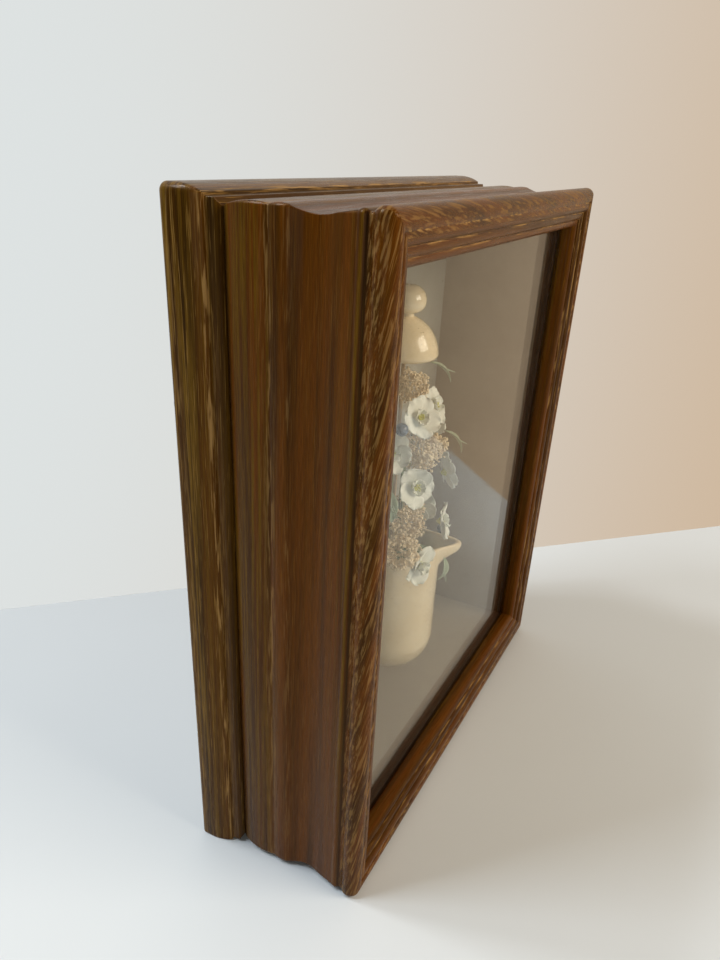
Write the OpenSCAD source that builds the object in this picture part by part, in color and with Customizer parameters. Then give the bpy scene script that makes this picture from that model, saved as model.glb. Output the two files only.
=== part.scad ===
// Shadow box: a deep glazed wooden case, mitred from two mouldings, lined with grey
// mat board, closed by a back board on turn buttons, and holding a small glazed
// pitcher whose lid is lifted on a column of silk and dried flowers.
//
// Inside the modules, u is the inset from the outermost side of the front bead and
// v is the depth behind that bead's centre line. in_case() moves v into the part's
// own frame: +X right, +Y to the back, +Z up, origin at the middle of the base.

/* [Case] */
// Width over the front beads
case_w = 248; // [220:1:300]
// Height over the front beads
case_h = 280; // [260:1:330]
// Depth from the bead's centre line to the back of the case
case_d = 77; // [77:1:84]
// How far the rear moulding stands out past the front beads
rear_proud = 2; // [1:0.5:3]

/* [Moulding] */
// Radius of the bead round the front edge
bead_r = 4.5; // [4:0.1:5]
// Width of the moulding's face, from the bead to the sight edge
face_w = 18.5; // [18:0.5:21]
// Thickness of the deep rails, from the bead to the inner side
rail_w = 14; // [13:0.5:15]
// Depth at which the front moulding meets the rear one
seam_v = 56.5; // [55:0.5:57]

/* [Glass and lining] */
// Thickness of the glass
glass_t = 2; // [1.5:0.1:3]
// Depth of the dark spacer strips behind the glass
spacer_d = 4; // [3:0.5:6]
// Thickness of the grey mat board on the walls
liner_t = 2; // [1.5:0.5:3]
// Thickness of the mat board on the back
lining_t = 3; // [2:0.5:3.5]
// Width of the rear rail that is left behind the back board's rabbet
land_w = 7; // [6:0.5:8]

/* [Back hardware] */
// Distance between a turn button's pivot and its far end's centre
button_reach = 18; // [14:1:22]
// Half width of a turn button
button_r = 4; // [3.5:0.1:4.5]
// Thickness of a turn button's plate
button_t = 1; // [0.8:0.1:1.2]
// Height of the lower pair of turn buttons as a share of the case's height
button_low = 0.25; // [0.15:0.05:0.4]

/* [Pitcher] */
// Radius of the pot's belly
pot_r = 24; // [22:0.5:24]
// Height of the pot from base to rim
pot_h = 74; // [66:1:76]
// Thickness of the pot's wall
pot_wall = 2.5; // [2:0.1:3]
// Reach of the pouring lip from the pot's axis
lip_reach = 36; // [31:0.5:36]
// Radius of the lid's edge
lid_r = 16; // [14:0.5:18]
// Height of the lid's edge above the base of the case
lid_z = 207; // [203:1:212]

/* [Flowers] */
// Radius from a blossom's centre to the middle of a petal
petal_ring = 5; // [4:0.1:5.5]
// Radius of one petal
petal_r = 4.4; // [4:0.1:4.8]

/* [Hidden] */
$fn = 48;

wood = [0.27, 0.12, 0.05];
mat_grey = [0.47, 0.46, 0.41];
black = [0.06, 0.05, 0.05];
board_brown = [0.45, 0.33, 0.2];
steel = [0.7, 0.68, 0.62];
cream = [0.86, 0.78, 0.6];
silk = [0.86, 0.86, 0.78];
dried = [0.72, 0.6, 0.38];
leaf_green = [0.5, 0.58, 0.4];
berry_blue = [0.3, 0.36, 0.42];

gap = 0.3;              // clearance round boards and glass, and under the turn buttons
lip_v = 6;              // back of the lip that the glass rests on
corner_r = 3;           // sanding of the mitred outer corners
rabbet_v = 70;          // face of the back lining, at the bottom of the rear rabbet
board_v = rabbet_v + lining_t;
spacer_v = lip_v + glass_t;
liner_v = spacer_v + spacer_d;
liner_u = rail_w + liner_t;

// Screws, buttons and hanger on the back face.
screw_u = 4.6;
screw_r = 1.6;
shank_r = 1.3;
shank_l = 9;
head_r = 2.6;
head_top_r = 1.8;
head_h = 1.2;
slot_w = 0.8;
slot_h = 0.8;           // depth of the slot cut into a screw's head
slip = 0.05;            // radial clearance of pins, screws and nails
play = 0.1;             // space between a button and its screw's head
head_v = case_d + gap + button_t + play;
button_z = [case_h * button_low, case_h * (1 - button_low)];
hanger_half = 22;
hanger_h = 8;
hanger_t = 0.8;
hanger_rise = 1.6;
hanger_z = case_h - 2.5;
nail_x = 19;
nail_r = 0.7;
nail_l = 8;
nail_head_r = 1.6;
nail_head_h = 0.7;

mid_v = (head_v + head_h - bead_r) / 2;

// The pitcher hangs clear of the floor, glued to the back lining.
pot_x = 6;
pot_v = 45;
pot_z = 34;
pot_base_r = 14;
bowl_h = 20;            // height of the rounded bowl under the straight side
lip_turn = -58;
lip_h = 11;             // height of the lip's root below the rim
lip_tip_r = 3.2;
lip_root_r = 12;
lip_wall = 2.1;
lid_x = 2;
lid_v = 46;
lid_rise = 19;
lid_hollow = lid_rise - pot_wall;
knob_h = 13.5;
knob_r = 8.6;
column_x = 4;
column_v = 46;
foam_r = pot_r - pot_wall - 1;
foam_top = pot_z + pot_h - 4;
stem_z = foam_top - 12; // height of the stems' lower ends, pushed into the foam
skewer_r = 1;

// Each blossom: across, depth, height, the way it faces round +Z, and its tilt from +Z.
BLOSSOMS = [
    [-24, 25, 155, -125, 75],
    [4, 31, 185, -85, 60],
    [28, 30, 143, -50, 80],
    [7, 22, 125, -70, 80],
    [-22, 20, 114, -105, 95],
    [-40, 40, 140, -160, 85],
    [-24, 38, 168, -135, 60],
    [32, 43, 167, -20, 70],
    [37, 45, 116, -10, 95],
    [-21, 27, 187, -120, 65]
];

// Each spray of baby's breath: across, depth, height and radius.
SPRAYS = [
    [5, 35, 162, 10],
    [-9, 33, 127, 8.5],
    [-39, 46, 159, 8],
    [-8, 36, 196, 7],
    [-30, 42, 97, 6],
    [16, 42, 128, 7],
    [-38, 23, 127, 8],
    [41, 41, 152, 6]
];

// Each leaf: across, depth, height, turn round +Z and tilt from +Z.
LEAVES = [
    [-44, 27, 152, -140, 60],
    [24, 24, 163, -60, 50],
    [-3, 14, 103, -100, 100],
    [-46, 34, 112, -170, 120],
    [22, 34, 198, -60, 40]
];

BERRIES = [
    [-38, 27, 186],
    [-43, 31, 181],
    [24, 26, 112]
];

// Points along a circular arc from p to q that bulges by h to the right of p to q,
// or to the left where h is negative.
function arc(p, q, h, n = 8) =
    let (
        half = norm(q - p) / 2,
        out = [q[1] - p[1], p[0] - q[0]] / (2 * half),
        r = (half * half + h * h) / (2 * h),
        c = (p + q) / 2 - out * (r - h),
        a = atan2(p[1] - c[1], p[0] - c[0]),
        b = atan2(q[1] - c[1], q[0] - c[0]),
        turn = h > 0 ? (b > a ? b - a : b - a + 360) : (b < a ? b - a : b - a - 360)
    )
    [for (i = [0 : n]) c + abs(r) * [cos(a + turn * i / n), sin(a + turn * i / n)]];

module in_case() {
    translate([0, -mid_v, 0]) children();
}

// Puts a rail, drawn as the left one, on one of the case's four sides.
module on_side(side) {
    if (side == "left") translate([-case_w / 2, 0, case_h / 2]) children();
    if (side == "right") translate([case_w / 2, 0, case_h / 2]) rotate([0, 180, 0]) children();
    if (side == "bottom") rotate([0, -90, 0]) children();
    if (side == "top") translate([0, 0, case_h]) rotate([0, 90, 0]) children();
}

function side_length(side) = side == "left" || side == "right" ? case_h : case_w;

// Wedge that mitres a rail at both ends.
module mitre(length) {
    out = rear_proud + 1;
    rotate([90, 0, 0])
        translate([0, 0, -case_d - 1])
            linear_extrude(case_d + bead_r + 2)
                polygon([
                    [-out, -length / 2 - out],
                    [face_w + 1, face_w + 1 - length / 2],
                    [face_w + 1, length / 2 - face_w - 1],
                    [-out, length / 2 + out]
                ]);
}

// Block whose upright corners are sanded round: proud of the beads by out at the
// sides and top, and planed flat at the base so that the case stands upright.
module sanded_block(out) {
    w = case_w + 2 * out;
    h = case_h + out;
    translate([0, case_d + 1, 0])
        rotate([90, 0, 0])
            linear_extrude(case_d + bead_r + 2) {
                translate([-w / 2 + corner_r, 0]) square([w - 2 * corner_r, h]);
                translate([-w / 2, corner_r]) square([w, h - 2 * corner_r]);
                for (x = [-1, 1], z = [corner_r, h - corner_r])
                    translate([x * (w / 2 - corner_r), z]) circle(corner_r);
            }
}

// Front moulding: a bead and three reeds on the face, a lip for the glass, and on
// the outside a groove, a sloping cove and two soft crests.
module front_profile() {
    bead_u = 2.5;
    bead_v = sqrt(bead_r * bead_r - bead_u * bead_u);
    polygon(concat(
        arc([bead_r - bead_u, bead_v], [bead_r + bead_u, -bead_v], bead_r, 14),
        arc([bead_r + bead_u, -bead_v], [11.5, -2.3], 0.9),
        arc([11.5, -2.3], [15.1, -0.9], 0.8),
        arc([15.1, -0.9], [face_w, 1.4], 0.8),
        [[face_w, lip_v], [rail_w, lip_v], [rail_w, seam_v], [4.2, seam_v]],
        arc([3.5, seam_v - 1.2], [2.1, 38.8], 1.15),
        arc([2.1, 38.8], [1.8, 31.8], 0.45, 5),
        arc([1.8, 31.8], [3, 16], -1.45),
        arc([1.6, 8.5], [2, 4.9], 0.7, 5)
    ));
}

// Rear moulding: a small flat fillet, a step and a broad rounded back edge, with a
// rabbet that takes the back lining and the back board.
module rear_profile() {
    round_r = 2;
    polygon(concat(
        [[rail_w, seam_v], [rail_w, rabbet_v], [land_w, rabbet_v], [land_w, case_d]],
        arc([round_r - rear_proud, case_d], [-rear_proud, case_d - round_r], 0.585, 5),
        arc([-rear_proud, case_d - 4], [0.4, 61.5], 0.8),
        [[1.5, 61.2], [1.5, 58], [4.2, seam_v]]
    ));
}

module front_rail(side) {
    length = side_length(side);
    color(wood)
        in_case()
            intersection() {
                on_side(side)
                    intersection() {
                        translate([0, 0, -length / 2]) linear_extrude(length) front_profile();
                        mitre(length);
                    }
                sanded_block(0);
            }
}

module rear_rail(side) {
    length = side_length(side) + 2 * rear_proud + 2;
    color(wood)
        in_case()
            difference() {
                intersection() {
                    on_side(side)
                        intersection() {
                            translate([0, 0, -length / 2]) linear_extrude(length) rear_profile();
                            mitre(side_length(side));
                        }
                    sanded_block(rear_proud);
                }
                if (side == "left") at_pivots(-1) pilot_hole(shank_r, shank_l);
                if (side == "right") at_pivots(1) pilot_hole(shank_r, shank_l);
                if (side == "top") at_nails() pilot_hole(nail_r, nail_l);
            }
}

// Hole from the case's back face towards the front.
module pilot_hole(r, depth) {
    rotate([90, 0, 0]) translate([0, 0, -1]) cylinder(h = depth + gap + 1, r = r + slip);
}

module at_pivots(side) {
    for (z = button_z) translate([side * (case_w / 2 - screw_u), case_d, z]) children();
}

module at_nails() {
    for (x = [-nail_x, nail_x]) translate([x, case_d, hanger_z]) children();
}

// Upright board that covers the case's whole inside less an inset on every side.
module board(inset, v, thickness) {
    translate([-case_w / 2 + inset, v, inset])
        cube([case_w - 2 * inset, thickness, case_h - 2 * inset]);
}

// One of four boards round the inside walls, from inset u0 to u1. The top and
// bottom boards run the full width and the side boards stand between them.
module wall_board(side, u0, u1, v, depth) {
    upright = side == "left" || side == "right";
    length = upright ? case_h - 2 * u1 : case_w - 2 * u0;
    on_side(side) translate([u0, v, -length / 2]) cube([u1 - u0, depth, length]);
}

module glass_pane() {
    color([0.8, 0.9, 0.9, 0.3]) in_case() board(rail_w + gap, lip_v, glass_t);
}

module spacer(side) {
    color(black) in_case() wall_board(side, rail_w, face_w - gap, spacer_v, spacer_d);
}

module liner(side) {
    color(mat_grey) in_case() wall_board(side, rail_w, liner_u, liner_v, rabbet_v - liner_v);
}

module back_lining() {
    color(mat_grey) in_case() board(land_w + gap, rabbet_v, lining_t);
}

module back_board() {
    color(board_brown) in_case() board(land_w + gap, board_v, case_d - board_v);
}

// A stamped plate that points inwards over the back board when it is closed.
module turn_button(side, level) {
    color(steel)
        in_case()
            translate([side * (case_w / 2 - screw_u), case_d + gap, button_z[level]])
                rotate([-90, 0, 0])
                    linear_extrude(button_t)
                        difference() {
                            union() {
                                circle(button_r);
                                translate([-side * button_reach, 0]) circle(button_r);
                                translate([-(1 + side) / 2 * button_reach, -button_r])
                                    square([button_reach, 2 * button_r]);
                            }
                            circle(screw_r + slip);
                        }
}

// A round-head screw whose shoulder is the button's pivot.
module pivot_screws() {
    color(steel)
        in_case()
            for (side = [-1, 1])
                at_pivots(side)
                    rotate([-90, 0, 0])
                        difference() {
                            union() {
                                translate([0, 0, -shank_l]) cylinder(h = shank_l + 1, r = shank_r);
                                cylinder(h = head_v - case_d + 0.5, r = screw_r);
                                translate([0, 0, head_v - case_d])
                                    cylinder(h = head_h, r1 = head_r, r2 = head_top_r);
                            }
                            translate([-head_r - 1, -slot_w / 2, head_v - case_d + head_h - slot_h])
                                cube([2 * head_r + 2, slot_w, head_h]);
                        }
}

// A bent strip with a row of teeth along its lower edge, raised off the wood in the
// middle so that a nail in the wall can hook under it.
module sawtooth_hanger() {
    top = hanger_rise + hanger_t;
    foot_x = 14;        // inner end of the flat foot at each side
    bridge_x = 12;      // outer end of the raised middle
    lean = 0.4;         // how much further out the bends lie on the strip's upper face
    teeth = 9;
    pitch = 2.2;
    notch = 1.5;
    half = [
        [bridge_x, hanger_rise], [foot_x, 0], [hanger_half, 0],
        [hanger_half, hanger_t], [foot_x + lean, hanger_t], [bridge_x + lean, top]
    ];
    color(steel)
        in_case()
            difference() {
                translate([0, case_d, hanger_z - hanger_h / 2])
                    linear_extrude(hanger_h)
                        polygon(concat(
                            half,
                            [for (i = [len(half) - 1 : -1 : 0]) [-half[i][0], half[i][1]]]
                        ));
                for (i = [0 : teeth - 1])
                    translate([(i - (teeth - 1) / 2) * pitch, case_d - 1, hanger_z - hanger_h / 2])
                        rotate([-90, 45, 0])
                            translate([-notch / 2, -notch / 2, 0])
                                cube([notch, notch, top + 2]);
                at_nails() rotate([-90, 0, 0]) translate([0, 0, -1]) cylinder(h = 3, r = nail_r + slip);
            }
}

module hanger_nails() {
    color(steel)
        in_case()
            at_nails()
                rotate([-90, 0, 0]) {
                    translate([0, 0, -nail_l])
                        cylinder(h = nail_l + hanger_t + nail_head_h / 2, r = nail_r);
                    translate([0, 0, hanger_t]) cylinder(h = nail_head_h, r = nail_head_r);
                }
}

module at_pot() {
    in_case() translate([pot_x, pot_v, pot_z]) children();
}

// Outline of the pot, drawn in from its outside by t and drawn on past the rim.
module pot_outline(t) {
    r = pot_r - t;
    top = pot_h + 2 + t;
    polygon(concat(
        [[0, t]],
        arc([pot_base_r - t / 2, t], [r, bowl_h], 3, 12),
        [[r, top], [0, top]]
    ));
}

// A lip pulled out of the rim to a rounded point, with a slanting underside, drawn in
// from its outside by t.
module pouring_lip(t) {
    root_x = pot_r / 3;
    under_x = pot_r * 0.8;
    root_r = lip_root_r - t;
    tip_r = lip_tip_r - t;
    tip_x = lip_reach - lip_tip_r;
    slant = atan2(lip_h - lip_tip_r, lip_reach - under_x);
    rotate([0, 0, lip_turn])
        intersection() {
            translate([0, 0, pot_h - lip_h])
                linear_extrude(lip_h + 1 + t) {
                    polygon([
                        [root_x, -root_r], [tip_x, -tip_r], [tip_x, tip_r], [root_x, root_r]
                    ]);
                    translate([tip_x, 0]) circle(tip_r);
                }
            translate([under_x, 0, pot_h - lip_h + t])
                rotate([0, -slant, 0])
                    translate([-pot_r, -pot_r, 0])
                        cube([3 * pot_r, 2 * pot_r, 2 * pot_r]);
        }
}

// A small pitcher with a bowl-shaped bottom, straight sides and a pouring lip.
module pot() {
    color(cream)
        at_pot()
            difference() {
                union() {
                    rotate_extrude($fn = 96) pot_outline(0);
                    pouring_lip(0);
                }
                rotate_extrude($fn = 96) pot_outline(pot_wall);
                pouring_lip(lip_wall);
                translate([-2 * pot_r, -2 * pot_r, pot_h]) cube([4 * pot_r, 4 * pot_r, 10]);
            }
}

// Pad of set glue between the pot's belly and the back lining.
module pot_glue_pad() {
    pad_w = 14;
    pad_h = 22;
    pad_v = pot_v + pot_r - 3;
    color([0.8, 0.78, 0.7])
        difference() {
            in_case()
                translate([pot_x - pad_w / 2, pad_v, pot_z + bowl_h + 4])
                    cube([pad_w, rabbet_v - pad_v, pad_h]);
            at_pot() cylinder(h = pot_h, r = pot_r + slip, $fn = 96);
        }
}

// Lid and knob, fired as one piece: a tall dome, hollow underneath.
module pot_lid() {
    color(cream)
        in_case()
            translate([lid_x, lid_v, lid_z])
                rotate_extrude($fn = 72)
                    polygon(concat(
                        [[0, lid_hollow], [2 * skewer_r, lid_hollow], [4, lid_hollow - 1]],
                        arc([6, lid_hollow - 2], [lid_r - pot_wall, 0], -2, 8),
                        arc([lid_r - 1.4, 0], [lid_r, 2.6], 0.7, 5),
                        arc([lid_r, 2.9], [3, lid_rise], 2.8, 12),
                        arc([3.4, lid_rise + 1.6], [knob_r, lid_rise + 6.5], 1.3, 6),
                        arc([knob_r, lid_rise + 6.7], [1, lid_rise + knob_h], 2.5, 8),
                        [[0, lid_rise + knob_h]]
                    ));
}

// Skewer from the foam to the underside of the lid, hidden by the flowers.
module lid_stem() {
    color(dried) skewer(0);
}

module skewer(extra) {
    in_case()
        translate([lid_x, lid_v, stem_z])
            cylinder(h = lid_z + lid_hollow - stem_z, r = skewer_r + extra, $fn = 24);
}

module floral_foam() {
    foam_z = pot_z + bowl_h;
    color([0.35, 0.42, 0.28])
        difference() {
            in_case() translate([pot_x, pot_v, foam_z]) cylinder(h = foam_top - foam_z, r = foam_r);
            skewer(slip);
            stem_bundle(slip);
        }
}

// Wires round the lid's skewer, each pushed into the foam.
module stem_bundle(extra) {
    count = 6;
    ring_r = 6;
    in_case()
        for (i = [0 : count - 1])
            translate([column_x, column_v, stem_z])
                rotate(360 * i / count)
                    translate([ring_r, 0, 0])
                        cylinder(h = 60 + 12 * (i % 3), r = 0.6 + extra, $fn = 24);
}

module flower_stems() {
    color(leaf_green) stem_bundle(0);
}

// Moves a piece to a place in the case and turns its +Z to face away from the column.
module facing(place) {
    in_case()
        translate([place[0], place[1], place[2]])
            rotate([0, place[4], place[3]])
                children();
}

module blossom(number) {
    color(silk)
        facing(BLOSSOMS[number - 1]) {
            linear_extrude(1.4)
                union() {
                    circle(petal_r, $fn = 32);
                    for (i = [0 : 4])
                        rotate(72 * i) translate([petal_ring, 0]) circle(petal_r, $fn = 32);
                }
            translate([0, 0, -2.5]) cylinder(h = 3.2, r1 = 0.8, r2 = 2.6, $fn = 32);
            cylinder(h = 2.6, r = 1.8, $fn = 32);
        }
}

module babys_breath(number) {
    place = SPRAYS[number - 1];
    color(dried)
        difference() {
            in_case() translate([place[0], place[1], place[2]]) sphere(place[3], $fn = 32);
            stem_bundle(slip);
        }
}

module silk_leaves() {
    leaf_l = 15;
    leaf_w = 5.5;
    r = (leaf_l * leaf_l / 4 + leaf_w * leaf_w / 4) / leaf_w;
    color(leaf_green)
        for (place = LEAVES)
            facing(place)
                linear_extrude(0.8)
                    intersection() {
                        translate([0, r - leaf_w / 2]) circle(r, $fn = 64);
                        translate([0, leaf_w / 2 - r]) circle(r, $fn = 64);
                    }
}

module blue_berries() {
    color(berry_blue) for (place = BERRIES) in_case() translate(place) sphere(3, $fn = 32);
}

front_rail("left");  // front_rail_left
front_rail("right");  // front_rail_right
front_rail("top");  // front_rail_top
front_rail("bottom");  // front_rail_bottom
rear_rail("left");  // rear_rail_left
rear_rail("right");  // rear_rail_right
rear_rail("top");  // rear_rail_top
rear_rail("bottom");  // rear_rail_bottom
glass_pane();
spacer("left");  // spacer_left
spacer("right");  // spacer_right
spacer("top");  // spacer_top
spacer("bottom");  // spacer_bottom
liner("left");  // liner_left
liner("right");  // liner_right
liner("top");  // liner_top
liner("bottom");  // liner_bottom
back_lining();
back_board();
turn_button(-1, 0);  // turn_button_left_low
turn_button(-1, 1);  // turn_button_left_high
turn_button(1, 0);  // turn_button_right_low
turn_button(1, 1);  // turn_button_right_high
pivot_screws();
sawtooth_hanger();
hanger_nails();
pot();
pot_glue_pad();
pot_lid();
lid_stem();
floral_foam();
flower_stems();
silk_leaves();
blue_berries();
blossom(1);  // blossom_1
blossom(2);  // blossom_2
blossom(3);  // blossom_3
blossom(4);  // blossom_4
blossom(5);  // blossom_5
blossom(6);  // blossom_6
blossom(7);  // blossom_7
blossom(8);  // blossom_8
blossom(9);  // blossom_9
blossom(10);  // blossom_10
babys_breath(1);  // babys_breath_1
babys_breath(2);  // babys_breath_2
babys_breath(3);  // babys_breath_3
babys_breath(4);  // babys_breath_4
babys_breath(5);  // babys_breath_5
babys_breath(6);  // babys_breath_6
babys_breath(7);  // babys_breath_7
babys_breath(8);  // babys_breath_8
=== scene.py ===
"""Looks of the shadow box: lacquered wood mouldings, glass, grey lining, a glazed pitcher
and its lifted lid, silk blossoms and dried sprays, and the zinc and brass on the back.

Lengths are in millimetres until add_piece() turns them into metres. The camera, the floor
and the lights are in metres. u is the inset from the outermost side of the front bead, and
v is the depth behind that bead's centre line.
"""

import math
import random

import bmesh
import bpy
from mathutils import Euler, Matrix, Vector, noise


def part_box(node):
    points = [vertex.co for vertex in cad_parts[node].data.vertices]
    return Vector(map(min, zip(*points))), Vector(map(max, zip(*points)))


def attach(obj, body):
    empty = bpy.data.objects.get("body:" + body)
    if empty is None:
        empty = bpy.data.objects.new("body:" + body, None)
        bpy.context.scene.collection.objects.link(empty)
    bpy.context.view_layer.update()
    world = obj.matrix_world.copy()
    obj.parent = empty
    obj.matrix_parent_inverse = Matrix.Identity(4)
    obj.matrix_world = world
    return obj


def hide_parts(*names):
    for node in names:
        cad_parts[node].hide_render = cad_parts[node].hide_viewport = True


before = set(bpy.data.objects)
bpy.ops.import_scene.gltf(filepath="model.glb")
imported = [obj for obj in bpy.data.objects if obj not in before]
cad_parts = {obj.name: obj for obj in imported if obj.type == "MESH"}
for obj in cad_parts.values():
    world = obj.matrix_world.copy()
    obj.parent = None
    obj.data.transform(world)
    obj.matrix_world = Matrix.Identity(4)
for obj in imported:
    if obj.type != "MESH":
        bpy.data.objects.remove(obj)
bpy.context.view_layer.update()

MM = 0.001
SIDES = ("left", "right", "top", "bottom")


def node_box(node):
    """Lowest and highest corner of a CAD node, in millimetres."""
    lo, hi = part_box(node)
    return Vector(lo) / MM, Vector(hi) / MM


# ---- The case, as part.scad has it ----
BEAD_R = 4.5
FACE_W = 18.5
RAIL_W = 14
LIP_V = 6
SEAM_V = 56.5
RABBET_V = 70
LAND_W = 7
REAR_PROUD = 2
CORNER_R = 3
EASE_R = 0.35            # sanding of the sharp edges along a moulding
REED_EDGES = (7, 11.5, 15.1)    # u of the ridges between the bead and the reeds
COVE_V = 31.8            # ridge at the back of the cove on the outside
CREST_V = 38.8           # ridge between the two crests on the outside
STEP_V = 61.5            # ridge above the step of the rear moulding
BEAD_BACK_V = 5          # the bead lies in front of this depth
BEAD_INNER_U = 9         # and outside this inset
CASE_W = -2 * node_box("front_rail_left")[0].x
CASE_H = node_box("front_rail_top")[1].z
CASE_D = node_box("back_board")[1].y - node_box("front_rail_left")[0].y - BEAD_R
FRONT_Y = node_box("front_rail_left")[0].y + BEAD_R

# ---- The pitcher, as part.scad has it ----
POT_R = 24
POT_H = 74
POT_WALL = 2.5
POT_BASE_R = 14
BOWL_H = 20
LIP_TURN = -58
LIP_REACH = 36
LIP_H = 11
POT_AT = Vector((6, FRONT_Y + 45, 34))
LID_R = 16
LID_RISE = 19
KNOB_R = 8.6
KNOB_H = 13.5
LID_AT = Vector((2, FRONT_Y + 46, 207))

# ---- Flowers ----
# The way each blossom faces: turn round +Z, then tilt from +Z.
BLOSSOM_FACINGS = [
    (-125, 75), (-85, 60), (-50, 80), (-70, 80), (-105, 95),
    (-160, 85), (-135, 60), (-20, 70), (-10, 95), (-120, 65),
]
SPRAY_COUNT = 8
# Each leaf: across, depth, height, turn round +Z and tilt from +Z.
LEAVES = [
    (-44, 27, 152, -140, 60),
    (24, 24, 163, -60, 50),
    (-3, 14, 103, -100, 100),
    (-46, 34, 112, -170, 120),
    (22, 34, 198, -60, 40),
]
BERRIES = [(-38, 27, 186), (-43, 31, 181), (24, 26, 112)]
BERRY_R = 3


# ---- Camera ----
def make_camera():
    data = bpy.data.cameras.new("camera")
    data.lens = 28.12
    data.shift_x = 0.0025
    data.shift_y = 0.054
    data.clip_start = 0.01
    data.clip_end = 20
    camera = bpy.data.objects.new("camera", data)
    camera.location = (-0.3219, -0.1338, 0.2933)
    camera.rotation_euler = Euler([math.radians(a) for a in (62.92, -2.46, -62.13)])
    bpy.context.scene.collection.objects.link(camera)
    bpy.context.scene.camera = camera


# ---- Meshes ----
class Shape:
    """Vertices, faces and each face's material number, gathered piece by piece."""

    def __init__(self):
        self.verts = []
        self.faces = []
        self.paints = []

    def add(self, verts, faces, paint=0, move=None):
        start = len(self.verts)
        self.verts += [move @ v for v in verts] if move else list(verts)
        self.faces += [tuple(start + i for i in face) for face in faces]
        self.paints += [paint] * len(faces)

    def add_grid(self, rows, paint=0, move=None, closed=False):
        """A net of quads over rows of points. closed joins each row's end to its start."""
        count = len(rows[0])
        across = count if closed else count - 1
        faces = [
            (i * count + j, i * count + (j + 1) % count,
             (i + 1) * count + (j + 1) % count, (i + 1) * count + j)
            for i in range(len(rows) - 1)
            for j in range(across)
        ]
        self.add([p for row in rows for p in row], faces, paint, move)


def add_piece(name, shape, materials, stands_for, crease=35, attributes=None):
    """Makes a piece of the case from a shape and lets it stand for CAD nodes."""
    mesh = bpy.data.meshes.new(name)
    mesh.from_pydata([v * MM for v in shape.verts], [], shape.faces)
    for material in materials:
        mesh.materials.append(material)
    mesh.polygons.foreach_set("material_index", shape.paints)
    for key, values in (attributes or {}).items():
        layer = mesh.attributes.new(key, "FLOAT_VECTOR", "POINT")
        layer.data.foreach_set("vector", [c for value in values for c in value])
    net = bmesh.new()
    net.from_mesh(mesh)
    bmesh.ops.recalc_face_normals(net, faces=net.faces)
    net.to_mesh(mesh)
    net.free()
    mesh.shade_smooth()
    mesh.set_sharp_from_angle(angle=math.radians(crease))
    piece = bpy.data.objects.new(name, mesh)
    bpy.context.scene.collection.objects.link(piece)
    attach(piece, "case")
    if stands_for:
        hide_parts(*stands_for)
    return piece


def arc(p, q, bulge, steps=14):
    """Points of an arc from p to q that bulges to the right, or left where it's negative."""
    p, q = Vector(p), Vector(q)
    half = (q - p).length / 2
    right = Vector((q.y - p.y, p.x - q.x)) / (2 * half)
    radius = (half * half + bulge * bulge) / (2 * bulge)
    centre = (p + q) / 2 - right * (radius - bulge)
    start = math.atan2(p.y - centre.y, p.x - centre.x)
    turn = math.atan2(q.y - centre.y, q.x - centre.x) - start
    if bulge > 0 and turn < 0:
        turn += math.tau
    if bulge < 0 and turn > 0:
        turn -= math.tau
    return [
        centre + abs(radius) * Vector((math.cos(start + turn * i / steps),
                                       math.sin(start + turn * i / steps)))
        for i in range(steps + 1)
    ]


def eased(outline, reach, least_turn=22, steps=4):
    """A closed outline with its sharp corners rounded off over a short reach."""
    outline = [p for i, p in enumerate(outline) if (p - outline[i - 1]).length > 0.01]
    points = []
    count = len(outline)
    for i, corner in enumerate(outline):
        before = outline[i - 1] - corner
        after = outline[(i + 1) % count] - corner
        turn = 180 - math.degrees(before.angle(after))
        if turn < least_turn:
            points.append(corner)
            continue
        a = corner + before * min(0.5, reach / before.length)
        b = corner + after * min(0.5, reach / after.length)
        for k in range(steps + 1):
            t = k / steps
            points.append((1 - t) ** 2 * a + 2 * t * (1 - t) * corner + t * t * b)
    return points


def smoothstep(low, high, x):
    t = min(1, max(0, (x - low) / (high - low)))
    return t * t * (3 - 2 * t)


def bump_at(x, centre, width):
    return math.exp(-((x - centre) / width) ** 2)


def revolved(shape, outline, at, steps=96, reshape=None, paint=0):
    """Turns an outline of (radius, height) about a vertical axis through at."""
    rows = []
    for radius, height in outline:
        row = []
        for k in range(steps):
            angle = math.tau * k / steps
            r, z = reshape(radius, height, angle) if reshape else (radius, height)
            row.append(at + Vector((r * math.cos(angle), r * math.sin(angle), z)))
        rows.append(row)
    shape.add_grid(rows, paint, closed=True)


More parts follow.
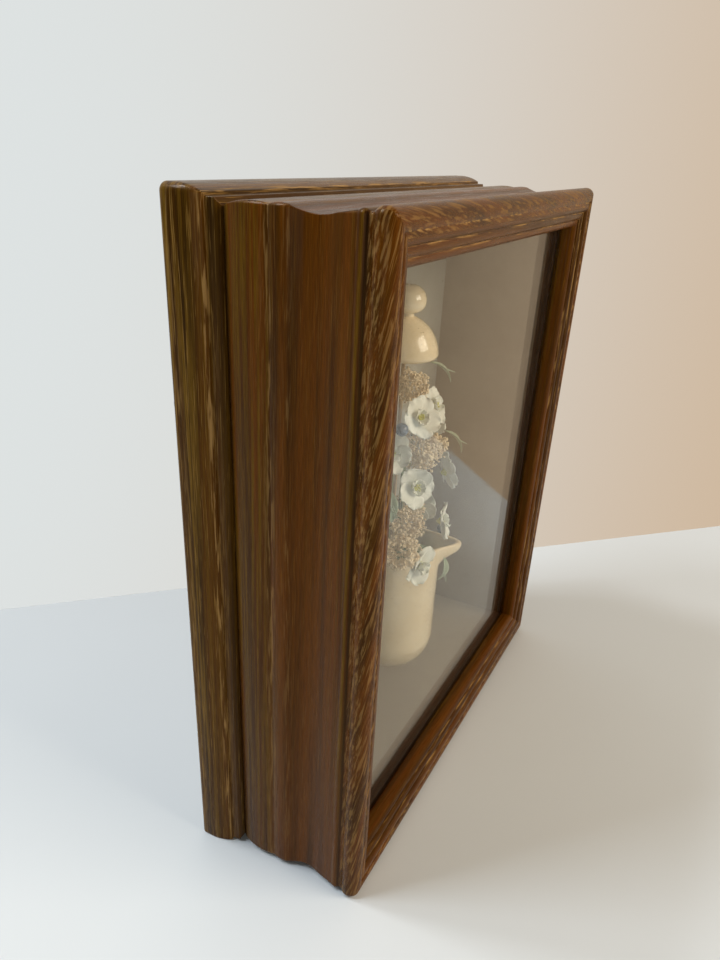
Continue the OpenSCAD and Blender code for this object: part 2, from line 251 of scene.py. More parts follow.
# ---- Materials ----
class Paint:
    """A material's or the world's nodes, and the means to wire them."""

    def __init__(self, owner):
        owner.use_nodes = True
        self.owner = owner
        self.tree = owner.node_tree
        self.tree.nodes.clear()

    def node(self, kind, sockets, **settings):
        made = self.tree.nodes.new(kind)
        for key, value in settings.items():
            setattr(made, key, value)
        for key, value in sockets.items():
            self.feed(made.inputs[key], value)
        return made

    def feed(self, socket, value):
        if isinstance(value, bpy.types.NodeSocket):
            self.tree.links.new(value, socket)
        elif socket.type == "RGBA" and len(value) == 3:
            socket.default_value = (*value, 1)
        else:
            socket.default_value = value

    def attribute(self, name):
        return self.node("ShaderNodeAttribute", {}, attribute_name=name).outputs["Vector"]

    def place(self):
        """The surface's place in the object, in millimetres."""
        at = self.node("ShaderNodeTexCoord", {}).outputs["Object"]
        return self.stretched(at, (1 / MM,) * 3)

    def stretched(self, vector, scale):
        made = self.node("ShaderNodeMapping", {"Vector": vector, "Scale": scale})
        return made.outputs["Vector"]

    def parts(self, vector):
        return self.node("ShaderNodeSeparateXYZ", {"Vector": vector}).outputs

    def noise(self, vector, scale=1, detail=3, roughness=0.55, distortion=0):
        made = self.node("ShaderNodeTexNoise", {
            "Vector": vector, "Scale": scale, "Detail": detail,
            "Roughness": roughness, "Distortion": distortion,
        })
        return made.outputs["Fac"]

    def cells(self, vector, scale):
        """Distance to the nearest of many scattered points."""
        made = self.node("ShaderNodeTexVoronoi", {"Vector": vector, "Scale": scale})
        return made.outputs["Distance"]

    def ranged(self, value, low, high, to_low=0, to_high=1):
        made = self.node("ShaderNodeMapRange", {
            "Value": value, "From Min": low, "From Max": high,
            "To Min": to_low, "To Max": to_high,
        }, interpolation_type="SMOOTHSTEP")
        return made.outputs["Result"]

    def maths(self, operation, a, b):
        made = self.node("ShaderNodeMath", {0: a, 1: b}, operation=operation)
        return made.outputs["Value"]

    def mixed(self, factor, a, b, blend="MIX"):
        made = self.node("ShaderNodeMix", {0: factor, 6: a, 7: b},
                         data_type="RGBA", blend_type=blend)
        return made.outputs[2]

    def bump(self, height, distance, strength=1):
        made = self.node("ShaderNodeBump", {
            "Height": height, "Distance": distance * MM, "Strength": strength,
        })
        return made.outputs["Normal"]

    def surface(self, **sockets):
        """Ends the tree in a Principled shader. Socket names have _ for each space."""
        named = {key.replace("_", " "): value for key, value in sockets.items()}
        shader = self.node("ShaderNodeBsdfPrincipled", named)
        self.node("ShaderNodeOutputMaterial", {"Surface": shader.outputs["BSDF"]})
        return self.owner


def new_paint(name):
    return Paint(bpy.data.materials.new(name))


BARE_WOOD = (0.42, 0.25, 0.085)
# Near-black painted shade for the grooves, the seam and the recess under the rear step.
GROOVE_SHADE = (0.012, 0.006, 0.004)


def wood(name, red, olive, dark, pore_light, pore_share):
    """Lacquered dark wood. The grain attribute runs along each rail, and the second
    attribute holds how olive and how worn the moulding is there, and how much painted shade
    darkens its grooves, its seam and the recess under the rear step."""
    paint = new_paint(name)
    grain = paint.attribute("grain")
    tone, worn, painted_shade = paint.parts(paint.attribute("finish_and_shade"))
    bands = paint.noise(paint.stretched(grain, (0.16, 0.16, 0.003)), detail=3)
    streaks = paint.noise(paint.stretched(grain, (0.8, 0.8, 0.008)), detail=4)
    fibres = paint.noise(paint.stretched(grain, (7, 7, 0.1)), detail=3)
    pores = paint.noise(paint.stretched(grain, (2.6, 2.6, 0.05)), detail=2)
    scuffs = paint.noise(paint.stretched(grain, (1.1, 1.1, 0.06)), detail=3)

    colour = paint.mixed(paint.ranged(bands, 0.38, 0.66), red, dark)
    golden = paint.maths("MULTIPLY", tone, paint.ranged(streaks, 0.4, 0.64))
    colour = paint.mixed(golden, colour, olive)
    shade = paint.ranged(fibres, 0.3, 0.7, 0.66, 1.2)
    shade_grey = paint.node(
        "ShaderNodeCombineColor", {"Red": shade, "Green": shade, "Blue": shade}
    ).outputs["Color"]
    colour = paint.mixed(1.0, colour, shade_grey, "MULTIPLY")
    pore_mask = paint.maths("MULTIPLY", paint.ranged(pores, 0.6, 0.67), pore_share)
    colour = paint.mixed(pore_mask, colour, pore_light)
    bare = paint.maths("MULTIPLY", worn, paint.ranged(scuffs, 0.5, 0.62))
    colour = paint.mixed(bare, colour, BARE_WOOD)
    # Painted shade: the grooves, the seam and the recess under the rear step are darkened towards
    # near-black.
    colour = paint.mixed(painted_shade, colour, GROOVE_SHADE)

    relief = paint.maths("SUBTRACT", fibres, paint.ranged(pores, 0.58, 0.7))
    gloss = paint.ranged(scuffs, 0.3, 0.7, 0.24, 0.38)
    return paint.surface(
        Base_Color=colour,
        Roughness=paint.maths("ADD", gloss, paint.maths("MULTIPLY", bare, 0.25)),
        Normal=paint.bump(relief, 0.05, 0.5),
        Specular_IOR_Level=0.13,
        Specular_Tint=(1, 0.5, 0.1),
        Coat_Weight=0.08,
        Coat_Roughness=0.08,
    )


def mat_board(name, dark, pale):
    paint = new_paint(name)
    at = paint.place()
    fibre = paint.noise(at, scale=2.2, detail=6, roughness=0.75)
    cloud = paint.noise(at, scale=0.03, detail=3)
    flecks = paint.ranged(paint.cells(at, 0.45), 0.1, 0.16, 1, 0)
    colour = paint.mixed(paint.ranged(cloud, 0.3, 0.7), dark, pale)
    colour = paint.mixed(paint.ranged(fibre, 0.35, 0.7, 0, 0.35), colour, (0.16, 0.155, 0.14))
    colour = paint.mixed(paint.maths("MULTIPLY", flecks, 0.25), colour, (0.5, 0.49, 0.44))
    return paint.surface(
        Base_Color=colour,
        Roughness=0.92,
        Normal=paint.bump(fibre, 0.12, 0.6),
        Sheen_Weight=0.15,
    )


# Spacer strips behind the glass. Their near-black colour is painted shadow for the gap between
# the glass and the lining.
def dark_spacer():
    paint = new_paint("dark_spacer")
    at = paint.place()
    fibre = paint.noise(at, scale=1.4, detail=5, roughness=0.7)
    colour = paint.mixed(fibre, (0.012, 0.009, 0.008), (0.045, 0.034, 0.027))
    return paint.surface(
        Base_Color=colour,
        Roughness=paint.ranged(fibre, 0.3, 0.7, 0.5, 0.75),
        Normal=paint.bump(fibre, 0.1, 0.5),
    )


def glass():
    """A thin pane: clear, with a mirror that grows towards grazing angles, and faint
    smears and dust that dull it here and there."""
    mirror_straight_on = 0.03
    mirror_gain = 0.75
    paint = new_paint("pane_glass")
    at = paint.place()
    smears = paint.noise(paint.stretched(at, (0.05, 0.05, 0.02)), detail=4, distortion=1.5)
    clear = paint.node("ShaderNodeBsdfTransparent", {"Color": (0.96, 0.965, 0.955)})
    mirror = paint.node("ShaderNodeBsdfGlossy", {
        "Color": (1, 1, 1),
        "Roughness": paint.ranged(smears, 0.4, 0.75, 0.015, 0.09),
    })
    facing_away = paint.node("ShaderNodeLayerWeight", {"Blend": 0.5}).outputs["Facing"]
    grazing = paint.maths("POWER", facing_away, 5)
    share = paint.maths("ADD", paint.maths("MULTIPLY", grazing, mirror_gain), mirror_straight_on)
    pane = paint.node("ShaderNodeMixShader", {
        0: share, 1: clear.outputs["BSDF"], 2: mirror.outputs["BSDF"],
    })
    specks = paint.ranged(paint.cells(at, 0.09), 0.022, 0.034, 0.35, 0)
    dust = paint.node("ShaderNodeBsdfDiffuse", {"Color": (0.32, 0.3, 0.27)})
    whole = paint.node("ShaderNodeMixShader", {
        0: specks, 1: pane.outputs["Shader"], 2: dust.outputs["BSDF"],
    })
    paint.node("ShaderNodeOutputMaterial", {"Surface": whole.outputs["Shader"]})
    return paint.owner


def hardboard():
    paint = new_paint("hardboard")
    at = paint.place()
    chips = paint.noise(at, scale=0.9, detail=7, roughness=0.7)
    cloud = paint.noise(at, scale=0.02, detail=3)
    weave = paint.cells(paint.stretched(at, (1, 0.2, 1)), 0.8)
    colour = paint.mixed(paint.ranged(chips, 0.3, 0.7), (0.11, 0.058, 0.026), (0.22, 0.125, 0.06))
    colour = paint.mixed(paint.ranged(cloud, 0.35, 0.7, 0, 0.4), colour, (0.09, 0.045, 0.02))
    return paint.surface(
        Base_Color=colour,
        Roughness=paint.ranged(chips, 0.3, 0.7, 0.55, 0.8),
        Normal=paint.bump(weave, 0.25, 0.7),
    )


def metal(name, bright, dull, stretch, roughness):
    """Plated sheet metal with rolling marks and dulled patches."""
    paint = new_paint(name)
    at = paint.place()
    marks = paint.noise(paint.stretched(at, stretch), detail=4)
    patches = paint.noise(at, scale=0.25, detail=5, roughness=0.65)
    colour = paint.mixed(paint.ranged(patches, 0.42, 0.68), bright, dull)
    rough = paint.ranged(marks, 0.3, 0.7, roughness - 0.07, roughness + 0.12)
    return paint.surface(
        Base_Color=colour,
        Metallic=1.0,
        Roughness=paint.maths("ADD", rough, paint.ranged(patches, 0.5, 0.7, 0, 0.15)),
        Normal=paint.bump(marks, 0.02, 0.4),
    )


def glaze():
    paint = new_paint("cream_glaze")
    at = paint.place()
    pool = paint.noise(at, scale=0.05, detail=3)
    mottle = paint.noise(at, scale=0.9, detail=5, roughness=0.65)
    specks = paint.ranged(paint.cells(at, 0.34), 0.055, 0.1, 1, 0)
    pins = paint.ranged(paint.cells(at, 1.1), 0.09, 0.15, 0.5, 0)
    colour = paint.mixed(paint.ranged(pool, 0.35, 0.65), (0.86, 0.74, 0.51), (0.80, 0.66, 0.42))
    colour = paint.mixed(paint.ranged(mottle, 0.45, 0.7, 0, 0.35), colour, (0.66, 0.53, 0.33))
    colour = paint.mixed(pins, colour, (0.55, 0.43, 0.27))
    colour = paint.mixed(specks, colour, (0.17, 0.11, 0.07))
    return paint.surface(
        Base_Color=colour,
        Roughness=paint.ranged(mottle, 0.3, 0.7, 0.2, 0.34),
        Normal=paint.bump(pool, 0.5, 0.25),
        Coat_Weight=0.8,
        Coat_Roughness=0.05,
    )


def soft(name, pale, deep, scale, roughness=0.8, sheen=0.2, relief=0.08):
    """Cloth, dried flowers and other dull fine-grained things."""
    paint = new_paint(name)
    at = paint.place()
    grain = paint.noise(at, scale=scale, detail=5, roughness=0.7)
    cloud = paint.noise(at, scale=scale / 14, detail=2)
    both = paint.maths("ADD", paint.maths("MULTIPLY", grain, 0.6),
                       paint.maths("MULTIPLY", cloud, 0.4))
    return paint.surface(
        Base_Color=paint.mixed(paint.ranged(both, 0.36, 0.62), deep, pale),
        Roughness=roughness,
        Normal=paint.bump(grain, relief, 0.7),
        Sheen_Weight=sheen,
    )


def berry_skin():
    paint = new_paint("berry_skin")
    at = paint.place()
    bloom = paint.noise(at, scale=0.5, detail=4)
    colour = paint.mixed(paint.ranged(bloom, 0.35, 0.65), (0.05, 0.075, 0.11), (0.15, 0.19, 0.24))
    return paint.surface(
        Base_Color=colour,
        Roughness=paint.ranged(bloom, 0.35, 0.65, 0.25, 0.5),
        Normal=paint.bump(bloom, 0.1, 0.5),
        Coat_Weight=0.4,
        Coat_Roughness=0.12,
    )


FRONT_WOOD = wood(
    "walnut_moulding", red=(0.100, 0.029, 0.002), olive=(0.106, 0.051, 0.003),
    dark=(0.038, 0.012, 0.001), pore_light=(0.22, 0.11, 0.02), pore_share=0.22)
REAR_WOOD = wood(
    "walnut_back_moulding", red=(0.078, 0.028, 0.002), olive=(0.135, 0.070, 0.007),
    dark=(0.030, 0.012, 0.001), pore_light=(0.30, 0.17, 0.04), pore_share=0.55)
# The side liners get a warmer, darker copy of the back lining's board: painted shade for the side
# walls.
SIDE_BOARD_SHADED = mat_board("side_mat_board_shaded", (0.28, 0.235, 0.17), (0.34, 0.29, 0.215))
BACK_BOARD = mat_board("back_mat_board", (0.29, 0.285, 0.235), (0.35, 0.345, 0.295))
ZINC = metal("zinc_plate", (0.62, 0.60, 0.55), (0.38, 0.36, 0.32), (0.4, 0.4, 6), 0.3)
BRASS = metal("brass_plate", (0.60, 0.42, 0.17), (0.33, 0.20, 0.08), (0.3, 0.3, 5), 0.3)
GLAZE = glaze()
SILK = soft("white_silk", (0.86, 0.88, 0.81), (0.70, 0.73, 0.65), 3.5, 0.7, 0.35)
SILK_HEART = soft("silk_heart", (0.74, 0.72, 0.16), (0.46, 0.50, 0.12), 3, 0.75)
DRIED = soft("dried_flower", (0.92, 0.81, 0.60), (0.68, 0.54, 0.35), 1.6, 0.9, 0.2, 0.15)
LEAF = soft("silk_leaf", (0.42, 0.50, 0.36), (0.25, 0.34, 0.22), 1.2, 0.65, 0.2)


# ---- Mouldings ----
def front_outline():
    """The front moulding's section as (u, v): a bead and three reeds on the face, and on
    the outside a groove, a sloping cove and two soft crests."""
    bead_u = 2.5
    bead_v = math.sqrt(BEAD_R ** 2 - bead_u ** 2)
    return (
        arc((BEAD_R - bead_u, bead_v), (BEAD_R + bead_u, -bead_v), BEAD_R, 28)
        + arc((BEAD_R + bead_u, -bead_v), (REED_EDGES[1], -2.3), 0.9)
        + arc((REED_EDGES[1], -2.3), (REED_EDGES[2], -0.9), 0.8)
        + arc((REED_EDGES[2], -0.9), (FACE_W, 1.4), 0.8)
        + [Vector(p) for p in ((FACE_W, LIP_V), (RAIL_W, LIP_V), (RAIL_W, SEAM_V), (4.2, SEAM_V))]
        + arc((3.5, SEAM_V - 1.2), (2.1, CREST_V), 1.15)
        + arc((2.1, CREST_V), (1.8, COVE_V), 0.45)
        + arc((1.8, COVE_V), (3, 16), -1.45)
        + arc((1.6, 8.5), (2, 4.9), 0.7)
    )


def rear_outline():
    """The rear moulding's section: a fillet, a step and a broad rounded back edge."""
    return (
        [Vector(p) for p in ((RAIL_W, SEAM_V), (RAIL_W, RABBET_V), (LAND_W, RABBET_V),
                             (LAND_W, CASE_D))]
        + arc((2 - REAR_PROUD, CASE_D), (-REAR_PROUD, CASE_D - 2), 0.585, 8)
        + arc((-REAR_PROUD, CASE_D - 4), (0.4, STEP_V), 0.8)
        + [Vector(p) for p in ((1.5, 61.2), (1.5, 58), (4.2, SEAM_V))]
    )


def on_bead(u, v):
    return v < BEAD_BACK_V and u < BEAD_INNER_U


def front_finish_and_shade(u, v):
    """How olive and how worn the front moulding is at (u, v), and how much painted shade darkens
    it along the seam and in the groove behind the bead.
    """
    face_back = 1.5
    if v < BEAD_BACK_V:
        tone = 0.2
    else:
        tone = 0.12 + 0.88 * smoothstep(34, 44, v) + 0.9 * bump_at(v, 7, 1.8)
    worn = 0.3 * bump_at(v, CREST_V + 0.2, 2) + 0.2 * bump_at(v, COVE_V, 1.2)
    if v < face_back:
        worn = max(worn, 0.75 * max(bump_at(u, edge, 0.5) for edge in REED_EDGES))
    if on_bead(u, v):
        worn = max(worn, 0.3)
    # Painted shade along the seam between the two mouldings and in the groove behind the bead.
    seam_shade = 0.85 * bump_at(v, SEAM_V - 0.5, 0.9)
    bead_groove_shade = 0.6 * bump_at(v, 5.4, 0.6) * (u < 4)
    return tone, worn, seam_shade + bead_groove_shade


def rear_finish_and_shade(u, v):
    """How olive and how worn the rear moulding is at (u, v), and how much painted shade darkens
    the recess under its step.
    """
    tone = 0.35 + 0.65 * smoothstep(64, 71, v)
    worn = 0.6 * bump_at(v, STEP_V + 0.5, 1.2) + 0.3 * bump_at(v, 74, 1.5)
    # Painted shade in the recess under the step.
    painted_shade = 0.8 * bump_at(v, STEP_V - 2.2, 1.2)
    return tone, worn, painted_shade


def rail_path(u, half, outset, steps=44, corner_steps=5):
    """(inset, along) points of one outline point's way from mitre to mitre. The corner it
    turns at both ends is sanded round."""
    r = max(CORNER_R - (u + outset), EASE_R)
    straight = half - u - r
    turns = [math.radians(45 * k / corner_steps) for k in range(corner_steps + 1)]
    end = [(u + r - r * math.cos(a), straight + r * math.sin(a)) for a in turns]
    start = [(inset, -along) for inset, along in reversed(end)]
    middle = [(u, straight * k / steps) for k in range(1 - steps, steps)]
    return start + middle + end


def on_side(side, inset, v, along):
    """A point of the left rail, moved to any of the case's four sides."""
    y = FRONT_Y + v
    if side == "left":
        return Vector((inset - CASE_W / 2, y, CASE_H / 2 + along))
    if side == "right":
        return Vector((CASE_W / 2 - inset, y, CASE_H / 2 + along))
    if side == "top":
        return Vector((along, y, CASE_H - inset))
    return Vector((along, y, inset))


def rail(kind, side, outline, finish_and_shade, outset, bead_slant, material, seed):
    """One mitred rail with a grain that runs along it, and slants across its bead. The
    seed moves each rail to a stretch of grain of its own."""
    plain_slant = 0.01
    side_step = 40
    length_step = 300
    half = (CASE_H if side in ("left", "right") else CASE_W) / 2
    paths = [rail_path(u, half, outset) for u, v in outline]
    rings = len(paths[0])
    shape = Shape()
    rows = []
    grain = []
    finishes_and_shade = []
    for k in range(rings):
        row = []
        for (u, v), path in zip(outline, paths):
            inset, along = path[k]
            point = on_side(side, inset, v, along)
            point.z = max(point.z, 0)
            row.append(point)
            slant = bead_slant if on_bead(u, v) else plain_slant
            grain.append((u - slant * along + side_step * seed, v + slant * along,
                          along + length_step * seed))
            finishes_and_shade.append(finish_and_shade(u, v))
        rows.append(row)
    shape.add_grid(rows, closed=True)
    count = len(outline)
    last = (rings - 1) * count
    shape.faces += [tuple(range(count)), tuple(range(last, last + count))]
    shape.paints += [0, 0]
    return add_piece(f"{kind}_{side}", shape, [material], [f"{kind}_rail_{side}"],
                     crease=28, attributes={"grain": grain, "finish_and_shade": finishes_and_shade})


def make_case():
    front = eased(front_outline(), EASE_R)
    rear = eased(rear_outline(), EASE_R)
    for seed, side in enumerate(SIDES):
        rail("front", side, front, front_finish_and_shade, 0, 0.16, FRONT_WOOD,
             seed)
        rail("rear", side, rear, rear_finish_and_shade, REAR_PROUD, 0.02, REAR_WOOD,
             seed + 5)


def dress(node, material, bevel=0.0):
    """Gives a CAD node its material, and softens its edges with a bevel in millimetres."""
    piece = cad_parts[node]
    piece.data.materials.clear()
    piece.data.materials.append(material)
    if bevel:
        soften = piece.modifiers.new("eased_edges", "BEVEL")
        soften.width = bevel * MM
        soften.segments = 3
        soften.limit_method = "ANGLE"
        soften.angle_limit = math.radians(40)
        soften.harden_normals = True


def dress_frame():
    # The spacer strips are painted near-black as the shadow behind the glass.
    spacer = dark_spacer()
    for side in SIDES:
        dress(f"spacer_{side}", spacer)
        # The side liners take the darker, warmer board with painted shade.
        dress(f"liner_{side}", SIDE_BOARD_SHADED)
    dress("back_lining", BACK_BOARD)
    dress("glass_pane", glass())
    dress("back_board", hardboard(), 0.4)
    for side in ("left", "right"):
        for level in ("low", "high"):
            dress(f"turn_button_{side}_{level}", ZINC, 0.25)
    dress("pivot_screws", ZINC, 0.2)
    dress("sawtooth_hanger", BRASS, 0.12)
    dress("hanger_nails", ZINC, 0.15)
    dress("flower_stems", soft("wrapped_wire", (0.22, 0.30, 0.14), (0.13, 0.19, 0.08), 3))
    dress("lid_stem", soft("raw_wood", (0.62, 0.47, 0.28), (0.45, 0.31, 0.17), 2))


# ---- Pitcher ----
def pot_reshape(radius, height, angle):
    """Pulls the rim out into a pouring lip and lets the wall waver a little."""
    beak_width = 0.28
    shoulder_at = 0.75
    shoulder_width = 0.3
    swing = (angle - math.radians(LIP_TURN) + math.pi) % math.tau - math.pi
    share = radius / POT_R
    lift = smoothstep(POT_H - LIP_H - 2, POT_H - 4, height)
    beak = math.exp(-(abs(swing) / beak_width) ** 1.8)
    shoulders = 0.05 * bump_at(abs(swing), shoulder_at, shoulder_width)
    reach = (LIP_REACH - POT_R) * beak - POT_R * shoulders
    wave = 0.12 * noise.noise(Vector((math.cos(angle), math.sin(angle), height / 20)))
    dip = 0.8 * beak * smoothstep(POT_H - 6, POT_H, height)
    return radius + share * (reach * lift + wave), height - dip


def make_pot():
    rim = POT_H - 1.2
    inner = POT_R - POT_WALL
    outline = (
        [(0.01, 1.0), (POT_BASE_R - 3, 0.9), (POT_BASE_R - 1.6, 0.1)]
        + [tuple(p) for p in arc((POT_BASE_R, 0), (POT_R, BOWL_H), 3, 24)]
        + [(POT_R, BOWL_H + (rim - BOWL_H) * k / 24) for k in range(1, 25)]
        + [(POT_R - 0.25, rim + 0.7), (POT_R - 0.8, POT_H - 0.08), (POT_R - 1.3, POT_H),
           (inner + 0.5, POT_H - 0.2), (inner + 0.1, rim + 0.3)]
        + [(inner, rim - (rim - BOWL_H) * k / 16) for k in range(1, 17)]
        + [(inner * 0.8, BOWL_H * 0.45), (0.01, POT_WALL)]
    )
    shape = Shape()
    revolved(shape, outline, POT_AT, 128, pot_reshape)
    add_piece("pitcher", shape, [GLAZE], ["pot"], crease=60)


def make_lid():
    """A tall dome with a ball knob. The edge is thick and rounded, the inside hollow."""
    hollow = LID_RISE - POT_WALL
    outline = (
        [(0.01, hollow), (4, hollow - 1)]
        + [tuple(p) for p in arc((6, hollow - 2), (LID_R - POT_WALL, 0.5), -2, 12)]
        + [(LID_R - POT_WALL + 0.4, 0.1)]
        + [tuple(p) for p in arc((LID_R - 1.6, 0), (LID_R, 2.8), 0.7, 8)]
        + [tuple(p) for p in arc((LID_R - 0.03, 3.3), (3.6, LID_RISE - 0.2), 2.8, 26)]
        + [(3.3, LID_RISE + 0.3), (3.3, LID_RISE + 1)]
        + [tuple(p) for p in arc((3.8, LID_RISE + 1.6), (KNOB_R, LID_RISE + 6.6), 1.5, 12)]
        + [tuple(p) for p in arc((KNOB_R, LID_RISE + 6.8), (0.01, LID_RISE + KNOB_H), 2.7, 18)]
    )
    shape = Shape()
    revolved(shape, outline, LID_AT, 96)
    add_piece("pitcher_lid", shape, [GLAZE], ["pot_lid"], crease=60)


def pillow(name, node, material, grain):
    """A lump that fills a CAD node's box, with a slightly uneven skin."""
    levels = 24
    around = 36
    lo, hi = node_box(node)
    centre = (lo + hi) / 2
    half = (hi - lo) / 2
    rows = []
    for i in range(1, levels):
        tall = math.pi * i / levels
        row = []
        for k in range(around):
            angle = math.tau * k / around
            ball = Vector((math.sin(tall) * math.cos(angle), math.sin(tall) * math.sin(angle),
                           math.cos(tall)))
            square = Vector([math.copysign(abs(c) ** 0.5, c) for c in ball])
            dent = 1 - grain * (0.5 + noise.noise(ball * 4))
            row.append(centre + Vector([s * h * dent for s, h in zip(square, half)]))
        rows.append(row)
    shape = Shape()
    shape.add_grid(rows, closed=True)
    last = (levels - 2) * around
    shape.faces += [tuple(range(around)), tuple(range(last, last + around))]
    shape.paints += [0, 0]
    add_piece(name, shape, [material], [node])


# ---- Flowers ----
def ball_template(rings):
    net = bmesh.new()
    bmesh.ops.create_icosphere(net, subdivisions=rings, radius=1)
    verts = [v.co.copy() for v in net.verts]
    faces = [tuple(v.index for v in face.verts) for face in net.faces]
    net.free()
    return verts, faces


SMALL_BALL = ball_template(1)
FINE_BALL = ball_template(3)


def facing(at, turn, tilt):
    """Puts a piece at a point with its +Z turned round and tilted from upright."""
    return (Matrix.Translation(at) @ Matrix.Rotation(math.radians(turn), 4, "Z")
            @ Matrix.Rotation(math.radians(tilt), 4, "Y"))


def stalk(shape, start, end, radius, paint):
    """A thin four-sided stem between two points."""
    axis = (end - start).normalized()
    side = axis.orthogonal() * radius
    rows = [
        [p + Matrix.Rotation(math.tau * k / 4, 3, axis) @ side for k in range(4)]
        for p in (start, end)
    ]
    shape.add_grid(rows, paint, closed=True)


def petal(dice, length, width, cup):
    """Rows of points over a rounded, ruffled petal that grows along +X."""
    base = 0.8
    rows_along = 10
    phase = dice.uniform(0, math.tau)
    curl = dice.uniform(0.5, 1.4)
    frill = dice.uniform(0, math.tau)
    twist = dice.uniform(-0.25, 0.25)
    rows = []
    for i in range(rows_along + 1):
        s = i / rows_along
        half = width / 2 * (0.16 + 0.9 * math.sin(math.pi * min(1, s ** 0.75 * 0.88)) ** 0.8)
        if i == rows_along:
            half *= 0.62
        row = []
        for j in range(11):
            t = j / 5 - 1
            notch = 0.5 * math.exp(-(t / 0.35) ** 2) * s ** 6
            ragged = 0.55 * abs(math.sin(3.4 * t + frill)) * s ** 4
            x = base + (length - base) * s - notch - ragged - 0.9 * t * t * s ** 4
            wave = 0.5 * math.sin(4.2 * t + phase) + 0.35 * math.sin(8.5 * t + frill) * s
            z = cup * s ** 1.4 - curl * s ** 5 + 0.7 * t * t * s + wave * s * s
            row.append(Vector((x, half * t, z + twist * half * t)))
        rows.append(row)
    return rows


def make_blossom(number):
    """Five silk petals and four smaller ones round a yellow-green heart with stamens, on a
    small calyx."""
    stamens = 11
    node = f"blossom_{number}"
    lo, hi = node_box(node)
    turn, tilt = BLOSSOM_FACINGS[number - 1]
    here = facing((lo + hi) / 2, turn, tilt)
    dice = random.Random(number)
    shape = Shape()
    for k in range(5):
        swing = Matrix.Rotation(math.radians(72 * k + dice.uniform(-8, 8)), 4, "Z")
        lean = Matrix.Rotation(math.radians(dice.uniform(-14, 6)), 4, "Y")
        rows = petal(dice, dice.uniform(10, 11.6), dice.uniform(9.6, 11), dice.uniform(1.4, 3))
        shape.add_grid(rows, 0, here @ swing @ lean)
    for k in range(4):
        swing = Matrix.Rotation(math.radians(90 * k + 36 + dice.uniform(-16, 16)), 4, "Z")
        lean = Matrix.Rotation(math.radians(dice.uniform(-38, -24)), 4, "Y")
        rows = petal(dice, dice.uniform(5, 6.2), dice.uniform(4.6, 5.6), 1.8)
        shape.add_grid(rows, 0, here @ Matrix.Translation((0, 0, 0.5)) @ swing @ lean)
    for k in range(stamens):
        angle = math.tau * k / stamens
        lean = dice.uniform(0.5, 1.9)
        tip = Vector((lean * math.cos(angle), lean * math.sin(angle), dice.uniform(1.8, 3)))
        stalk(shape, here @ Vector((0, 0, 0.3)), here @ tip, 0.1, 1)
        grow = Matrix.Diagonal((0.34, 0.34, 0.34, 1))
        shape.add(*SMALL_BALL, 1, here @ Matrix.Translation(tip) @ grow)
    calyx = [(0.5, -2.2), (1.0, -1.6), (1.7, -0.5), (2.0, 0.3)]
    rows = [
        [Vector((r * math.cos(math.tau * k / 10), r * math.sin(math.tau * k / 10), z))
         for k in range(10)]
        for r, z in calyx
    ]
    shape.add_grid(rows, 1, here, closed=True)
    piece = add_piece(f"silk_{node}", shape, [SILK, SILK_HEART], [node], crease=60)
    cloth = piece.modifiers.new("cloth_thickness", "SOLIDIFY")
    cloth.thickness = 0.18 * MM
    cloth.offset = 0


def make_spray(number):
    """Tiny crumpled florets on hair-thin stems, packed into a loose ball."""
    node = f"babys_breath_{number}"
    lo, hi = node_box(node)
    centre = (lo + hi) / 2
    radius = (hi.x - lo.x) / 2
    dice = random.Random(50 + number)
    shape = Shape()
    for _ in range(round(5.5 * radius * radius)):
        way = Vector([dice.gauss(0, 1) for _ in range(3)]).normalized()
        size = dice.uniform(0.5, 1.05)
        lump = 1.22 + 0.5 * noise.noise(way * 1.6 + Vector((number, 0, 0)))
        at = centre + way * (radius * lump - size) * dice.uniform(0.3, 1) ** 0.35
        crumpled = [v * size * dice.uniform(0.65, 1.15) for v in SMALL_BALL[0]]
        shape.add(crumpled, SMALL_BALL[1], 0, Matrix.Translation(at))
        stalk(shape, centre + (at - centre) * 0.55, at, 0.09, 0)
    add_piece(f"dried_spray_{number}", shape, [DRIED], [node], crease=30)


def make_leaves():
    """Pointed leaves, folded along the midrib, and a few curling wisps."""
    length = 15
    width = 5.5
    wisps = 3
    wisp_steps = 6
    wisp_curl = 0.22
    dice = random.Random(7)
    shape = Shape()
    for x, v, z, turn, tilt in LEAVES:
        here = facing(Vector((x, FRONT_Y + v, z)), turn, tilt)
        rows = []
        for i in range(17):
            s = i / 16
            half = width / 2 * math.sin(math.pi * s) ** 0.8 + 0.05
            along = (s - 0.5) * length
            bend = -2.2 * (2 * s - 1) ** 2 + 1
            rows.append([
                Vector((along, half * (j / 4 - 1), bend + 0.45 * abs(j / 4 - 1) * half
                        + 0.12 * math.sin(9 * s * abs(j - 4))))
                for j in range(9)
            ])
        shape.add_grid(rows, 0, here)
        for _ in range(wisps):
            swing = dice.uniform(-0.9, 0.9)
            for k in range(wisp_steps):
                a = swing + wisp_curl * k
                start = Vector((k, 1.5 * math.sin(a), 1.2 + 0.4 * k))
                end = Vector((k + 1, 1.5 * math.sin(a + wisp_curl), 1.6 + 0.4 * k))
                stalk(shape, here @ start, here @ end, 0.22 - 0.025 * k, 0)
    piece = add_piece("silk_greens", shape, [LEAF], ["silk_leaves"], crease=60)
    cloth = piece.modifiers.new("cloth_thickness", "SOLIDIFY")
    cloth.thickness = 0.2 * MM


def make_berries():
    shape = Shape()
    for x, v, z in BERRIES:
        at = Matrix.Translation((x, FRONT_Y + v, z))
        puckered = [
            p * (BERRY_R * (1 - 0.14 * math.exp(-((p.z - 1) / 0.08) ** 2)
                            - 0.03 * abs(noise.noise(p * 3))))
            for p in FINE_BALL[0]
        ]
        shape.add(puckered, FINE_BALL[1], 0, at)
    add_piece("berries", shape, [berry_skin()], ["blue_berries"], crease=60)


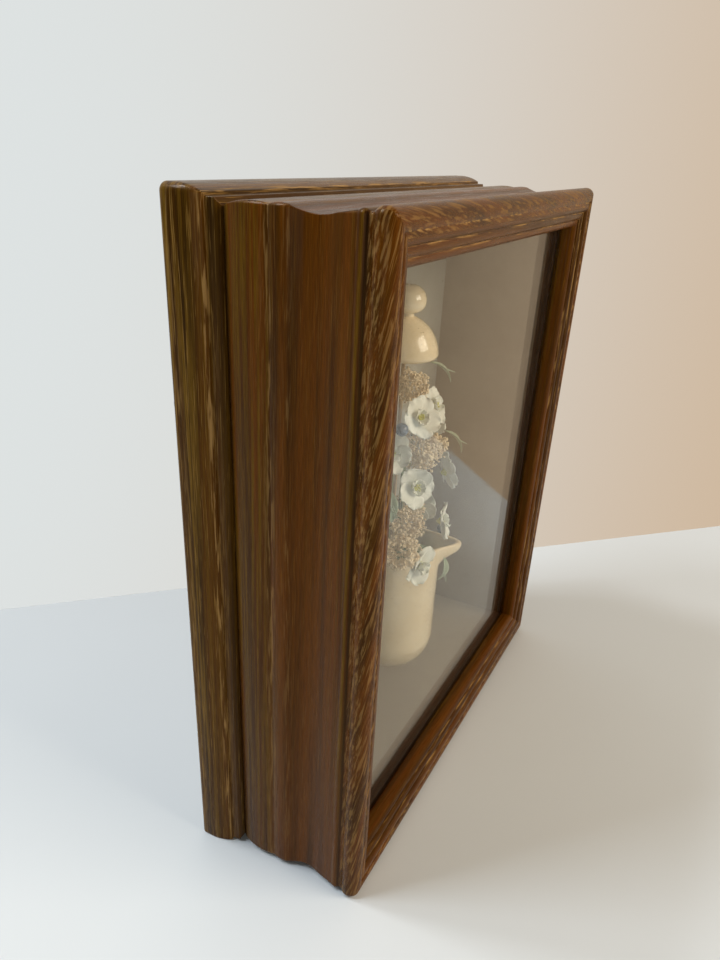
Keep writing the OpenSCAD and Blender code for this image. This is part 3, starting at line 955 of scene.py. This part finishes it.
def make_contents():
    make_pot()
    make_lid()
    pillow("glue_lump", "pot_glue_pad",
           soft("set_glue", (0.66, 0.60, 0.44), (0.55, 0.47, 0.30), 0.6, 0.3, 0), 0.1)
    pillow("foam_block", "floral_foam",
           soft("floral_foam", (0.17, 0.24, 0.10), (0.09, 0.14, 0.05), 1.3, 0.95, 0, 0.5),
           0.04)
    for number in range(1, len(BLOSSOM_FACINGS) + 1):
        make_blossom(number)
    for number in range(1, SPRAY_COUNT + 1):
        make_spray(number)
    make_leaves()
    make_berries()


# ---- Stage ----
def make_floor():
    """A pale table top whose far edge passes behind the case at 45 degrees."""
    behind = 0.163
    reach = 2.5
    mesh = bpy.data.meshes.new("floor")
    corners = [(-reach, -reach), (reach, -reach), (reach, behind), (-reach, behind)]
    mesh.from_pydata([(x, y, 0) for x, y in corners], [], [(0, 1, 2, 3)])
    floor = bpy.data.objects.new("floor", mesh)
    floor.rotation_euler.z = math.radians(-45)
    bpy.context.scene.collection.objects.link(floor)
    paint = new_paint("pale_table")
    at = paint.place()
    cloud = paint.noise(at, scale=0.004, detail=3)
    mesh.materials.append(paint.surface(
        Base_Color=paint.mixed(cloud, (0.60, 0.645, 0.67), (0.65, 0.70, 0.73)),
        Roughness=0.45,
    ))


def soft_light(name, at, aim, size, power, colour):
    data = bpy.data.lights.new(name, "AREA")
    data.shape = "SQUARE"
    data.size = size
    data.energy = power
    data.color = colour
    light = bpy.data.objects.new(name, data)
    light.location = at
    light.rotation_euler = (Vector(aim) - Vector(at)).to_track_quat("-Z", "Y").to_euler()
    bpy.context.scene.collection.objects.link(light)


def make_lights():
    middle = (0, 0, 0.14)
    soft_light("window", (-0.62, 0.66, 1.25), middle, 0.4, 10, (0.86, 0.93, 1))
    soft_light("room", (0.2, -1.5, 1.0), middle, 1.0, 24, (1, 0.86, 0.70))
    soft_light("lamp", (-0.2, 0.5, 1.3), middle, 0.16, 5, (0.95, 0.97, 1))
    soft_light("fill", (-1.6, -0.3, 0.5), middle, 1.0, 4, (1, 0.94, 0.86))
    make_walls()


def make_walls():
    """Pale walls beyond the table, cool to the left and warm to the right, and a dim room
    behind the camera."""
    world = bpy.data.worlds.new("walls")
    paint = Paint(world)
    way = paint.node("ShaderNodeTexCoord", {}).outputs["Generated"]
    across, deep, _ = paint.parts(way)
    warm = paint.ranged(deep, -0.25, 0.85, 1, 0)
    wall = paint.mixed(warm, (0.73, 0.768, 0.768), (0.61, 0.45, 0.30))
    ahead = paint.maths("ADD", across, paint.maths("MULTIPLY", deep, 0.5))
    colour = paint.mixed(paint.ranged(ahead, -0.5, 0.5), (0.10, 0.095, 0.09), wall)
    backdrop = paint.node("ShaderNodeBackground", {"Color": colour, "Strength": 1.0})
    paint.node("ShaderNodeOutputWorld", {"Surface": backdrop.outputs["Background"]})
    bpy.context.scene.world = world
    bpy.context.scene.view_settings.view_transform = "Standard"


make_camera()
make_case()
dress_frame()
make_contents()
make_floor()
make_lights()
